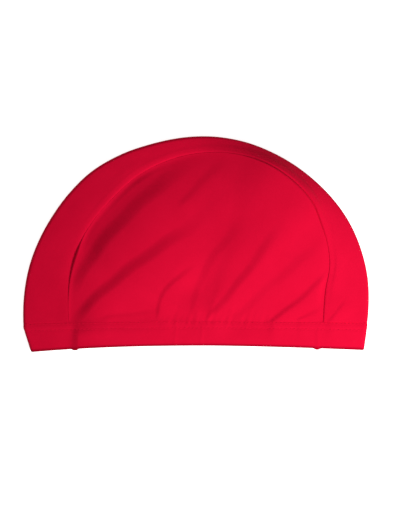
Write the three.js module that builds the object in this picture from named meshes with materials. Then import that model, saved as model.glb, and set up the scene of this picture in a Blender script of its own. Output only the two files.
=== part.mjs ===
// A fabric swim cap lying on its side on a flat surface, the way it rests when it is not worn.
// Two D-shaped side panels are sewn to a crown strip that runs over the head from end to end, and a
// turned-up hem closes the rim. The strip is folded along the outline, so the cap is a low, open pouch.
// Millimetres. +X runs along the rim, +Y from the rim to the top of the crown, +Z up off the surface.
import * as THREE from "three";

// Outline from above, measured from the foot: the point of the hem line below the top of the crown.
const CROWN_RISE = 133.3; // hem line to the top of the crown
const LEFT_REACH = 132; // foot to the left end
const RIGHT_REACH = 116.7; // foot to the right end
const LEFT_BULGE = 6; // the left end is widest this far above the hem line
const RIGHT_BULGE = 12; // and the right end this far above it
const STRIP_HALF_WIDTH = 32.5; // outline to seam at the hem line, half of the crown strip
const OUTLINE_SWELL = 2; // most that the crown strip bellies out past the even outline

// The hem, from the hem line down to the rim.
const HEM_DEPTH = 17.7;
const LEFT_RIM_INSET = 6.4; // the elastic hem draws the left corner of the rim in by this much
const RIGHT_RIM_INSET = 3.2; // and the right corner by this much
const LEFT_RIM_DROP = 5.2; // the left corner of the rim lies this much lower than its middle
const RIGHT_RIM_DROP = 3.3; // and the right corner this much
const DROP_FADE = 42; // this far above the rim, nothing of that drop is left
const HEM_SEAM_SHIFT = 5.4; // the seams run this much closer to the middle in the hem than in the body
const HEM_SEAM_WIDTH = 4.4; // groove of a seam in the hem
const HEM_SEAM_DIP = 0.6; // depth of that groove
const HEM_SEAM_KNOB = 1.2; // the thick end of a seam stands this far out of the rim
const RIM_ROUNDING = 0.8; // the folded edge of the rim is rounded over this length

// Cloth.
const PANEL_WALL = 1.2;
const HEM_WALL = 1.7; // the cloth is double here
const SEAM_GAP = 0.3; // between two pieces that are sewn together

// Heights above the surface that the cap lies on.
const FOLD_RADIUS = 2.7; // outside of the fold along the outline
const FLANK_TURN = 0.14; // radians that the strip leaves the fold steeper than the straight way to the seam
const SEAM_LOFT = 11; // upper seam at the crown
const HEM_LOFT = 14; // middle of the upper hem line
const RIM_LOFT = 12.6; // middle of the upper rim
const PANEL_PUFF = 7; // the upper side panel bulges this much above its edges
const PANEL_STEP = 1; // most that one piece stands above the other at the upper seam
const ALLOWANCE_WIDTH = 6; // the seam allowance under the strip shows as a raised band this wide
const ALLOWANCE_RISE = 0.6; // and this high

// Folds of the upper side panel.
const FOLD_HEIGHT = 3.2; // the highest fold
const FOLD_FLANK = 20; // the widest flank of a fold
const FOLD_EDGE_FADE = 5; // a fold dies out over this length before a seam or the hem line

// How finely the surfaces are divided.
const STATIONS = 48; // along the outline
const PANEL_ROWS = 15; // hem line to seam, on the upper side panel
const FLAT_ROWS = 2; // the same on the lower side panel, which lies flat
const ARC_STEPS = 5; // round the fold
const FLANK_STEPS = 8; // fold to seam, on top
const HEM_STEPS = 22; // seam to seam, along the hem

// Along the outline from the left end to the right one: the visible half width of the strip as a share of
// STRIP_HALF_WIDTH, how far the strip bellies out as a share of OUTLINE_SWELL, the height of the upper seam
// as a share of SEAM_LOFT, and how far the side panel stands above the strip at the seam, as a share of
// PANEL_STEP.
const STATION_TABLE = [
  { share: 0.0, width: 1.0, swell: 0, rise: 0.8, step: 0 },
  { share: 0.1, width: 0.93, swell: 0.1, rise: 0.84, step: 0.5 },
  { share: 0.19, width: 0.82, swell: 0.2, rise: 0.9, step: 1 },
  { share: 0.29, width: 0.7, swell: 1, rise: 0.96, step: 0 },
  { share: 0.35, width: 0.57, swell: 0.6, rise: 0.98, step: -0.4 },
  { share: 0.4, width: 0.48, swell: 0.1, rise: 1.0, step: -0.6 },
  { share: 0.47, width: 0.385, swell: 0, rise: 1.0, step: -0.6 },
  { share: 0.56, width: 0.33, swell: -0.3, rise: 1.0, step: -0.3 },
  { share: 0.63, width: 0.3, swell: -0.55, rise: 1.0, step: -0.5 },
  { share: 0.7, width: 0.325, swell: -0.4, rise: 1.0, step: -0.8 },
  { share: 0.74, width: 0.37, swell: -0.1, rise: 0.97, step: -1 },
  { share: 0.78, width: 0.52, swell: 0.3, rise: 0.95, step: -1 },
  { share: 0.82, width: 0.615, swell: 0.6, rise: 0.92, step: -1 },
  { share: 0.87, width: 0.71, swell: 0.65, rise: 0.88, step: -0.8 },
  { share: 0.92, width: 0.87, swell: 0.6, rise: 0.84, step: -0.4 },
  { share: 1.0, width: 0.98, swell: 0, rise: 0.8, step: 0 },
];

// Ridges of cloth on top, each from one point to another. X is a share of the reach on its side of the foot,
// Y of CROWN_RISE, bow of the ridge's own length, to its left. Height is a share of FOLD_HEIGHT. The steep
// flank, to the left of the ridge, and the gentle one, to its right, are shares of FOLD_FLANK.
const FOLD_TABLE = [
  { fromX: -0.66, fromY: 0.25, toX: -0.05, toY: 0.81, bow: 0.03, height: 1.0, steep: 0.4, gentle: 1.0 },
  { fromX: -0.71, fromY: 0.0, toX: 0.0, toY: 0.53, bow: 0.032, height: 0.75, steep: 0.24, gentle: 0.6 },
  { fromX: -0.24, fromY: 0.02, toX: -0.04, toY: 0.29, bow: 0.166, height: 0.32, steep: 0.12, gentle: 0.25 },
  { fromX: -0.06, fromY: 0.01, toX: 0.33, toY: 0.56, bow: 0.1, height: 0.44, steep: 0.15, gentle: 0.35 },
  { fromX: 0.03, fromY: 0.01, toX: 0.52, toY: 0.56, bow: 0.023, height: 0.47, steep: 0.17, gentle: 0.4 },
  { fromX: 0.18, fromY: 0.01, toX: 0.76, toY: 0.41, bow: 0.024, height: 0.38, steep: 0.2, gentle: 0.45 },
  { fromX: 0.39, fromY: 0.0, toX: 0.77, toY: 0.262, bow: -0.01, height: 0.28, steep: 0.1, gentle: 0.2 },
  { fromX: 0.56, fromY: 0.0, toX: 0.7, toY: 0.045, bow: 0.02, height: 0.16, steep: 0.08, gentle: 0.15 },
  { fromX: 0.75, fromY: 0.0, toX: 0.88, toY: 0.12, bow: -0.02, height: 0.16, steep: 0.08, gentle: 0.15 },
  { fromX: -0.15, fromY: 0.62, toX: 0.09, toY: 0.755, bow: 0.02, height: 0.22, steep: 0.2, gentle: 0.35 },
];

const lerp = THREE.MathUtils.lerp;
const smooth = THREE.MathUtils.smoothstep;

// One column of a table at a share of the way along, on a smooth curve through its rows.
function column(table, name, at) {
  const last = table.length - 1;
  let row = 0;
  while (row < last - 1 && at > table[row + 1].share) row += 1;
  const slope = (k) => {
    const before = table[Math.max(k - 1, 0)];
    const after = table[Math.min(k + 1, last)];
    return (after[name] - before[name]) / (after.share - before.share);
  };
  const from = table[row];
  const to = table[row + 1];
  const span = to.share - from.share;
  const t = (at - from.share) / span;
  const ease = t * t * (3 - 2 * t);
  const bend = span * (slope(row) * t * (1 - t) ** 2 - slope(row + 1) * t * t * (1 - t));
  return lerp(from[name], to[name], ease) + bend;
}

// The outline from above: a quarter ellipse on each side, carried on below its widest place to the hem line.
function outlineAt(share) {
  const leftDip = Math.asin(LEFT_BULGE / (CROWN_RISE - LEFT_BULGE));
  const rightDip = Math.asin(RIGHT_BULGE / (CROWN_RISE - RIGHT_BULGE));
  const turn = lerp(Math.PI + leftDip, -rightDip, share);
  const onLeft = Math.cos(turn) < 0;
  const reach = onLeft ? LEFT_REACH : RIGHT_REACH;
  const bulge = onLeft ? LEFT_BULGE : RIGHT_BULGE;
  return new THREE.Vector2(reach * Math.cos(turn), bulge + (CROWN_RISE - bulge) * Math.sin(turn));
}

// The point that lies inward of the outline, on the straight line to the foot.
function inwardOf(share, distance) {
  const outline = outlineAt(share);
  return outline.multiplyScalar(1 - distance / outline.length());
}

const swell = (share) => OUTLINE_SWELL * column(STATION_TABLE, "swell", share);
const stripWidth = (share) => STRIP_HALF_WIDTH * column(STATION_TABLE, "width", share);
const seamHeight = (share) => SEAM_LOFT * column(STATION_TABLE, "rise", share);
const seamStep = (share) => PANEL_STEP * column(STATION_TABLE, "step", share);

// Height that the folds add at a point seen from above.
function foldHeight(x, y) {
  const point = new THREE.Vector2(x, y);
  const place = (shareX, shareY) =>
    new THREE.Vector2(shareX * (shareX < 0 ? LEFT_REACH : RIGHT_REACH), shareY * CROWN_RISE);
  let height = 0;
  for (const fold of FOLD_TABLE) {
    const from = place(fold.fromX, fold.fromY);
    const along = place(fold.toX, fold.toY).sub(from);
    const length = along.length();
    along.divideScalar(length);
    const offset = point.clone().sub(from);
    const share = offset.dot(along) / length;
    if (share <= 0 || share >= 1) continue;
    const toLeft = along.cross(offset) - fold.bow * length * 4 * share * (1 - share);
    const flank = FOLD_FLANK * (toLeft > 0 ? fold.steep : fold.gentle);
    const taper = smooth(share, 0, 0.2) * smooth(1 - share, 0, 0.35);
    height += FOLD_HEIGHT * fold.height * taper * Math.exp(-((toLeft / flank) ** 2));
  }
  return height;
}

// Bends the straight hem line and rim down towards the corners, more and more with the distance.
function arched(x, y, z) {
  const BEND_POWER = 2.5;
  const drop = x < 0 ? LEFT_RIM_DROP : RIGHT_RIM_DROP;
  const reach = x < 0 ? LEFT_REACH : RIGHT_REACH;
  const fade = Math.max(0, 1 - (y + HEM_DEPTH) / DROP_FADE);
  return new THREE.Vector3(x, y - drop * Math.abs(x / reach) ** BEND_POWER * fade ** 2, z);
}

// The folded edge in section, from the upper seam round the fold to the lower seam. Each point has its
// distance inward from the outline and its height, for the outside of the cloth and for the inside.
function foldSection(width, seamUp, wall, allowance) {
  const outside = [];
  const inside = [];
  const add = (inward, up, leanIn, leanUp) => {
    outside.push({ inward, up });
    inside.push({ inward: inward + leanIn * wall, up: up + leanUp * wall });
  };
  const leave = Math.atan2(seamUp - 2 * FOLD_RADIUS, width - FOLD_RADIUS) + FLANK_TURN;
  const start = new THREE.Vector2(
    FOLD_RADIUS * (1 - Math.sin(leave)),
    FOLD_RADIUS * (1 + Math.cos(leave)),
  );
  const seam = new THREE.Vector2(width, seamUp);
  const pull = start.distanceTo(seam) / 2;
  const control = new THREE.Vector2(Math.cos(leave), Math.sin(leave)).multiplyScalar(pull).add(start);
  const flank = new THREE.QuadraticBezierCurve(start, control, seam);
  const CLOSER_TO_SEAM = 1.35; // the steps are shorter near the seam
  for (let k = 0; k < FLANK_STEPS; k += 1) {
    const t = 1 - (k / FLANK_STEPS) ** CLOSER_TO_SEAM;
    const point = flank.getPoint(t);
    const slope = flank.getTangent(t);
    const upright = 1 - k / FLANK_STEPS; // the cut edge at the seam stands straight up
    const lean = new THREE.Vector2(slope.y, -slope.x).lerp(new THREE.Vector2(0, -1), upright).normalize();
    const band = Math.min((width - point.x) / ALLOWANCE_WIDTH, 1);
    add(point.x, point.y + allowance * Math.sin(Math.PI * band) ** 2, lean.x, lean.y);
  }
  for (let k = 0; k <= ARC_STEPS; k += 1) {
    const turn = lerp(Math.PI / 2 + leave, (3 * Math.PI) / 2, k / ARC_STEPS);
    const cos = Math.cos(turn);
    const sin = Math.sin(turn);
    add(FOLD_RADIUS * (1 + cos), FOLD_RADIUS * (1 + sin), -cos, -sin);
  }
  add(width, 0, 0, 1);
  return { outside, inside };
}

// A closed body from two grids of points, its outside and its inside, with walls along their edges.
// Across, then along, has to turn counter-clockwise seen from outside.
function shellOf(outside, inside) {
  const corners = [];
  const SAME_POINT = 1e-6;
  const triangle = (a, b, c) => {
    const flat = a.distanceTo(b) < SAME_POINT || b.distanceTo(c) < SAME_POINT || c.distanceTo(a) < SAME_POINT;
    if (!flat) corners.push(a, b, c);
  };
  const quad = (a, b, c, d) => {
    triangle(a, b, c);
    triangle(a, c, d);
  };
  const columns = outside.length - 1;
  const rows = outside[0].length - 1;
  for (let i = 0; i < columns; i += 1) {
    for (let j = 0; j < rows; j += 1) {
      quad(outside[i][j], outside[i + 1][j], outside[i + 1][j + 1], outside[i][j + 1]);
      quad(inside[i][j], inside[i][j + 1], inside[i + 1][j + 1], inside[i + 1][j]);
    }
    quad(inside[i][0], inside[i + 1][0], outside[i + 1][0], outside[i][0]);
    quad(outside[i][rows], outside[i + 1][rows], inside[i + 1][rows], inside[i][rows]);
  }
  for (let j = 0; j < rows; j += 1) {
    quad(outside[0][j], outside[0][j + 1], inside[0][j + 1], inside[0][j]);
    quad(inside[columns][j], inside[columns][j + 1], outside[columns][j + 1], outside[columns][j]);
  }
  return geometryOf(corners);
}

// A closed body from a grid of points whose columns and rows both run round in a ring.
function ringOf(grid) {
  const corners = [];
  grid.forEach((line, i) => {
    const next = grid[(i + 1) % grid.length];
    line.forEach((point, j) => {
      const k = (j + 1) % line.length;
      corners.push(point, next[j], next[k], point, next[k], line[k]);
    });
  });
  return geometryOf(corners);
}

function geometryOf(corners) {
  const geometry = new THREE.BufferGeometry().setFromPoints(corners);
  geometry.computeVertexNormals();
  return geometry;
}

// The crown strip: one fold section at each station along the outline.
function crownStrip() {
  const outside = [];
  const inside = [];
  for (let i = 0; i <= STATIONS; i += 1) {
    const share = i / STATIONS;
    const width = stripWidth(share) + swell(share) - SEAM_GAP / 2;
    const section = foldSection(width, seamHeight(share), PANEL_WALL, ALLOWANCE_RISE);
    const place = (point, k) => {
      const { x, y } = inwardOf(share, point.inward - swell(share));
      const onTop = k < FLANK_STEPS ? Math.sin((Math.PI * k) / FLANK_STEPS) : 0;
      return arched(x, Math.max(y, SEAM_GAP / 2), point.up + onTop * foldHeight(x, y));
    };
    outside.push(section.outside.map(place));
    inside.push(section.inside.map(place));
  }
  return shellOf(outside, inside);
}

// A point of a side panel: across from the left corner to the right one, up from the hem line to the seam.
function panelPoint(across, up) {
  const seamAt = (share) => inwardOf(share, stripWidth(share) + SEAM_GAP / 2);
  const seam = seamAt(across);
  const hem = new THREE.Vector2(lerp(seamAt(0).x, seamAt(1).x, across), 0);
  const point = hem.clone().lerp(seam, up);
  return { x: point.x, y: Math.max(point.y, SEAM_GAP / 2), length: hem.distanceTo(seam) };
}

// Height of the upper hem line, across from the left seam to the right one, for a given middle height.
function hemHeight(across, middle) {
  const left = seamHeight(0);
  const right = seamHeight(1);
  return lerp(left, right, across) + (middle - (left + right) / 2) * 4 * across * (1 - across);
}

function upperSidePanel() {
  const longest = panelPoint(0.5, 0).length;
  const outside = [];
  const inside = [];
  for (let i = 0; i <= STATIONS; i += 1) {
    const across = i / STATIONS;
    const line = [];
    for (let j = 0; j <= PANEL_ROWS; j += 1) {
      const up = j / PANEL_ROWS;
      const { x, y, length } = panelPoint(across, up);
      const edges = lerp(hemHeight(across, HEM_LOFT), seamHeight(across) + seamStep(across), up);
      const puff = PANEL_PUFF * 4 * up * (1 - up) * (length / longest);
      const fade = smooth(y, 0, FOLD_EDGE_FADE) * smooth((1 - up) * length, 0, FOLD_EDGE_FADE);
      line.push(arched(x, y, edges + puff + fade * foldHeight(x, y)));
    }
    outside.push(line);
    inside.push(line.map((point) => point.clone().setZ(point.z - PANEL_WALL)));
  }
  return shellOf(outside, inside);
}

function lowerSidePanel() {
  const outside = [];
  const inside = [];
  for (let i = STATIONS; i >= 0; i -= 1) {
    const line = [];
    for (let j = 0; j <= FLAT_ROWS; j += 1) {
      const { x, y } = panelPoint(i / STATIONS, j / FLAT_ROWS);
      line.push(arched(x, y, 0));
    }
    outside.push(line);
    inside.push(line.map((point) => point.clone().setZ(PANEL_WALL)));
  }
  return shellOf(outside, inside);
}

// The hem: a flattened ring. Round the ring it runs along the top from left to right, round the right fold,
// back along the bottom and round the left fold. Across it runs up the outside and down the inside.
function hemBand() {
  const leftEnd = outlineAt(0).x;
  const rightEnd = outlineAt(1).x;
  const seamLeft = leftEnd + stripWidth(0);
  const seamRight = rightEnd - stripWidth(1);
  const grooves = [seamLeft + HEM_SEAM_SHIFT, seamRight - HEM_SEAM_SHIFT];
  const steps = [...Array(HEM_STEPS - 1).keys()].map((k) => lerp(seamLeft, seamRight, (k + 1) / HEM_STEPS));
  const clearOfGrooves = steps.filter((x) => grooves.every((at) => Math.abs(x - at) > HEM_SEAM_WIDTH));
  const grooveSteps = grooves.flatMap((at) => [at - HEM_SEAM_WIDTH / 2, at, at + HEM_SEAM_WIDTH / 2]);
  const middle = [...clearOfGrooves, ...grooveSteps].sort((a, b) => a - b);
  const nearGroove = (x) => Math.max(...grooves.map((at) => 1 - Math.abs(x - at) / (HEM_SEAM_WIDTH / 2)), 0);

  // One turn round the ring at a share of the way from the hem line to the rim.
  const turnAt = (down) => {
    const y = lerp(-SEAM_GAP / 2, -HEM_DEPTH + RIM_ROUNDING, down);
    const left = leftEnd + LEFT_RIM_INSET * down;
    const right = rightEnd - RIGHT_RIM_INSET * down;
    const loft = lerp(HEM_LOFT, RIM_LOFT, down);
    const turn = { outside: [], inside: [] };
    const add = (x, out, into) => {
      turn.outside.push({ x, y, z: out });
      turn.inside.push({ x, y, z: into });
    };
    for (const x of middle) {
      const out = hemHeight((x - seamLeft) / (seamRight - seamLeft), loft) - HEM_SEAM_DIP * nearGroove(x);
      add(x, out, out - HEM_WALL);
    }
    const rightFold = foldSection(right - seamRight, seamHeight(1), HEM_WALL, 0);
    rightFold.outside.forEach((point, k) => {
      turn.outside.push({ x: right - point.inward, y, z: point.up });
      turn.inside.push({ x: right - rightFold.inside[k].inward, y, z: rightFold.inside[k].up });
    });
    add(0, 0, HEM_WALL);
    const leftFold = foldSection(seamLeft - left, seamHeight(0), HEM_WALL, 0);
    for (let k = leftFold.outside.length - 1; k >= 0; k -= 1) {
      turn.outside.push({ x: left + leftFold.outside[k].inward, y, z: leftFold.outside[k].up });
      turn.inside.push({ x: left + leftFold.inside[k].inward, y, z: leftFold.inside[k].up });
    }
    return turn;
  };
  const top = turnAt(0);
  const rim = turnAt(1);
  const at = (point) => arched(point.x, point.y, point.z);
  return ringOf(
    rim.outside.map((point, k) => {
      const within = rim.inside[k];
      const knob = k < middle.length ? HEM_SEAM_KNOB * nearGroove(middle[k]) : 0;
      const edge = arched((point.x + within.x) / 2, -HEM_DEPTH - knob, (point.z + within.z) / 2);
      return [at(within), edge, at(point), at(top.outside[k]), at(top.inside[k])];
    }),
  );
}

const cloth = (color) => new THREE.MeshStandardMaterial({ color, roughness: 0.72, metalness: 0 });

function pieceOf(name, geometry, color) {
  const piece = new THREE.Mesh(geometry, cloth(color));
  piece.name = name;
  return piece;
}

const cap = new THREE.Group();
cap.add(
  pieceOf("crown_strip", crownStrip(), 0xbf0a2c),
  pieceOf("side_panel_upper", upperSidePanel(), 0xdc1238),
  pieceOf("side_panel_lower", lowerSidePanel(), 0xdc1238),
  pieceOf("hem_band", hemBand(), 0xd40f34),
);

// The origin is the middle of the cap's box, on the surface that it lies on.
const box = new THREE.Box3().setFromObject(cap);
const middle = box.getCenter(new THREE.Vector3());
cap.position.set(-middle.x, -middle.y, -box.min.z);

export default cap;
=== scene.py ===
import bpy
import numpy as np
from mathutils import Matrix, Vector


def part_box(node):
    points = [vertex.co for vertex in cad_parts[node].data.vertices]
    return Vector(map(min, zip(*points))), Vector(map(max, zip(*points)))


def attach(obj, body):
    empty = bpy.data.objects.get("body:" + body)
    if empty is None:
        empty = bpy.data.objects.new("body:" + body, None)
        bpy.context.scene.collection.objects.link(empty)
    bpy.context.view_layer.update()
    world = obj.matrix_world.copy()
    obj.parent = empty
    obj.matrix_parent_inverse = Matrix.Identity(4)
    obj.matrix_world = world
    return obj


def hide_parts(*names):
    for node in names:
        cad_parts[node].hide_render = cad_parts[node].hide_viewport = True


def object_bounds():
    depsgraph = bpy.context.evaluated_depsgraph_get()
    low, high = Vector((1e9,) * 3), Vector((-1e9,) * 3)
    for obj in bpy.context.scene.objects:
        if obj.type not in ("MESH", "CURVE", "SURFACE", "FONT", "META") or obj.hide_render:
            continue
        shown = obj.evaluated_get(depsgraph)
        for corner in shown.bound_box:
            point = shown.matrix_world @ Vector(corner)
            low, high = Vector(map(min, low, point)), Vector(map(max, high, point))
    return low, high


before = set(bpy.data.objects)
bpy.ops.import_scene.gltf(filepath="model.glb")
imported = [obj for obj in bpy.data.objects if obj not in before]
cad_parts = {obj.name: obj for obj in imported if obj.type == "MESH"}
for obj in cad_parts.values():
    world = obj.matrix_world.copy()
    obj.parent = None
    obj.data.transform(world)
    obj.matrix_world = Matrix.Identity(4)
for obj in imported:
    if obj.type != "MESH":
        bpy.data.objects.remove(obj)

CAD_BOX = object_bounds()
MM = 0.001

# The outline from above and the crown strip
CROWN_RISE = 133.3  # hem line to the top of the crown
LEFT_REACH = 132.0  # foot to the left end
RIGHT_REACH = 116.7  # foot to the right end
LEFT_BULGE = 6.0  # the left end is widest this far above the hem line
RIGHT_BULGE = 12.0  # and the right end this far above it
STRIP_HALF_WIDTH = 32.5  # outline to seam at the hem line
OUTLINE_SWELL = 2.0  # most that the strip bellies out past the even outline

# The hem
HEM_DEPTH = 17.4
LEFT_RIM_INSET = 5.6  # the elastic hem draws the left corner of the rim in by this much
RIGHT_RIM_INSET = 2.4  # and the right corner by this much
INSET_START = 0.14  # the share of the hem's depth where that begins
LEFT_RIM_DROP = 5.6  # the left corner of the rim lies this much lower than its middle
RIGHT_RIM_DROP = 3.7  # and the right corner this much
LEFT_DROP_POWER = 2.4  # the greater the power, the nearer to the corner the drop begins
RIGHT_DROP_POWER = 1.5
DROP_FADE = 42.0  # this far above the rim, nothing of the drop is left
RIM_ROUND = 0.85  # radius of the folded edge of the rim

# The side seams in the hem. At a place along the rim the cloth stands out by a height, or dips, and that
# fades over a length to the left and over another to the right.
HEM_RIDGE_COLUMNS = ("place", "height", "to_left", "to_right")
HEM_RIDGES = [dict(zip(HEM_RIDGE_COLUMNS, row)) for row in (
    (-98.0, -0.3, 7.0, 3.0),  # the dip beside the left seam
    (-91.2, 0.75, 3.2, 45.0),  # the left seam
    (79.9, 0.16, 0.9, 1.6),  # the right seam
)]
HEM_RIDGE_RISE = 9.0  # they come up over this length below the hem line
HEM_SEAM_ENDS = (-94.1, 79.5)  # where the thick ends of the seams show at the rim
HEM_SEAM_KNOB = 0.9  # such an end stands this far out of the rim
HEM_SEAM_KNOB_WIDTH = 2.1
HEM_SEAM_KNOB_LENGTH = 3.0

# Cloth and heights above the floor
PANEL_WALL = 1.2
HEM_WALL = 1.7  # the cloth is double here
FOLD_RADIUS = 2.7  # outside of the fold along the outline
FLANK_TURN = 0.04  # radians that the strip leaves this fold steeper than the straight way to the seam
STRAIGHT_POWER = 8  # the greater, the nearer to the seam the strip's inner face turns straight down
HEM_LOFT = 16.2  # highest point of the upper hem line
RIM_LOFT = 15.8  # and of the upper rim
HEM_PEAK = -36.0  # where along the rim these are
HEM_CROWNING = 1.8  # power of the curve from there to the ends, as crowning() has it, at the hem line
RIM_CROWNING = 2.3  # and at the rim
WIDEST_ROLL = 2.4  # the cloth rolls down into a seam over this radius at most
BACK_ROLL = 0.6  # and over this one on the side that lies on the floor
HEM_ROLL = 0.16  # and over this one at the hem line
ROLL_IN_WALL = 0.7  # the inner face stays where it is under a roll down to this share of the wall
LEFT_PUFF = 2.4  # the upper side panel bulges this much above its edges on the left
RIGHT_PUFF = 2.3  # and this much on the right
LEFT_PUFF_POWER = 2.0  # on the left it lies flat just inside its seam
RIGHT_PUFF_POWER = 1.1  # and on the right it rises at once
PUFF_CHANGE = (-60.0, 60.0)  # the one turns into the other between these places along the rim
DOME_REACH = 13.0  # how soon the panel rises inside its edge
SINK_LENGTH = 6.0  # and how soon it sinks beside its seam
ALLOWANCE_WIDTH = 6.2  # seam allowance under the strip
ALLOWANCE_START = 1.5  # it raises the cloth over this length from the seam on
ALLOWANCE_EDGE = 2.6  # and its edge shows over this length
ALLOWANCE_RISE = 0.8

# Cover stitches of the hem
STITCH_ROWS = (-0.75, -4.7)  # y of the two needle rows, which is 0 at the hem line
STITCH_LENGTH = 2.3
STITCH_PITCH = 2.9
STITCH_WIDTH = 0.34
STITCH_STAND = 0.02  # the middle of the thread lies this far above the cloth
STITCH_SINK = 0.3  # and at the ends of a stitch this much deeper
STITCH_TIP = 0.02  # what is left of 1 - u^4 there, so that no stitch ends in a point
STITCH_DENT = 0.07  # the thread pulls the cloth in by this much
STITCH_DENT_WIDTH = 0.7

# Folds and slack of the cloth
FOLD_SPREAD = (0.9, 1.4)  # at a fold's start and end its flanks are this many times as wide as FOLDS says
FOLD_SWELLS = 0.15  # the share of its length over which a fold comes up
FOLD_DIES = 0.35  # and over which it dies out
BOW_POWER = 0.75  # below 1, a fold bends most before its middle
WOBBLE = 0.4  # a fold's line wanders this much to either side
WOBBLE_LENGTH = 5.2  # millimetres of the fold to a radian of that wave
FOLD_EDGE_FADE = 5.5  # folds of a panel die out over this length before its seam
STRIP_FOLD_FADE = 8.0  # and those of the crown strip over this one
STRIP_FOLD_RISE = (3.0, 12.0)  # which come up between these distances from the outline
FOLD_RUN_ON = 16.0  # folds run on into the hem for this length
GATHER_HEIGHT = 0.07  # small pleats of the cloth that the hem gathers
GATHER_SPACINGS = (4.7, 7.3)  # from pleat to pleat, in the two waves that make them
GATHER_SHARES = (1.0, 0.8)  # how strong the two are
GATHER_TURNS = (0.0, 1.1)  # and where they start, in radians
GATHER_LEAN = 0.35  # a pleat moves this far to the right for each millimetre up
GATHER_REACH = 5.0  # and fades over this length on either side of the hem line
GATHER_START = (-48.0, -12.0)  # pleats come up along the rim between these places
GATHER_END = (20.0, 75.0)  # and are gone between these
RIPPLE_HEIGHT = 0.07  # faint slack everywhere
HEM_CREASES = (-21.0, -2.0)  # two faint slanting creases in the hem
CREASE_HEIGHT = 0.1
CREASE_WIDTH = 1.1
CREASE_LEAN = 0.12

# The swim knit, in millimetres. A real one has about 20 wales and 25 courses to the centimetre, so 0.5 and
# 0.4 from one to the next. It is drawn a little coarser, so that it shows in a close view.
WALE_SPACING = 0.55
COURSE_SPACING = 0.45
RIB_STRENGTH = 1.2  # how strongly the ribs of the knit show in its relief
LOOP_STRENGTH = 0.3  # and the loops on them
KNIT_RELIEF = 0.12  # how far the loops stand out
FUZZ_RELIEF = 0.12  # and the fuzz of the yarn
MOTTLE_SIZE = 11.11  # dye and fuzz change from place to place over this length
PATCH_SIZE = 71.43  # and the dye over this one too
THREAD_PLY = 0.349  # from ply to ply of the sewing thread
THREAD_RELIEF = 0.08
CLOTH_DEEP = "#bf0629"
CLOTH_BRIGHT = "#cb0a30"
# Shade painted along the fold of the hem's rim: the cloth there is darkened towards this colour, standing in
# for the shade under the rolled edge
PAINTED_RIM_SHADE_COLOUR = "#7a0014"
PAINTED_RIM_SHADE = 0.9  # painted shade: how much of this darker colour shows at the fold of the rim, in place of the shade there
# the painted shade fades out over this length on either side of the fold
PAINTED_RIM_SHADE_REACH = 2.2

# How finely the surfaces are divided, and how many points stand for a curve that is measured
PANEL_MIDDLE = (-7.5, 50.0)  # where the rays of a side panel's grid meet
EDGE_BAND = 3.4  # the rows lie closer together this near to a seam
EDGE_TURNS = 11
SEAM_STEPS = 330
HEM_LINE_STEPS = 190
PANEL_ROWS = 105
INSIDE_ROWS = 26
STRIP_STEPS = 520
STRIP_END_BAND = 3.0  # its sections lie closer together this near to the hem line
FLANK_STEPS = 40
ARC_STEPS = 14
BACK_STEPS = 8
HEM_AROUND = 640
HEM_ROW_STEP = 0.9
HEM_LINE_BAND = 1.6  # the hem's rows lie closer together this near to its upper line
STITCH_BAND = 1.2  # and this near to the middle of a stitch row
STITCH_BAND_ROWS = 9
RIM_TURNS = 11
HEM_INSIDE_ROWS = 10
STITCH_SAMPLES = 24  # points of the cloth for each stitch
STITCH_RINGS = 7
STITCH_SIDES = 6
FOOT_POINTS = 2001
OUTLINE_POINTS = 801
HEM_FOLD_POINTS = 60
HEM_TOP_POINTS = 801
HEM_BACK_POINTS = 401
STITCH_LINE_POINTS = 800

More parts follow.
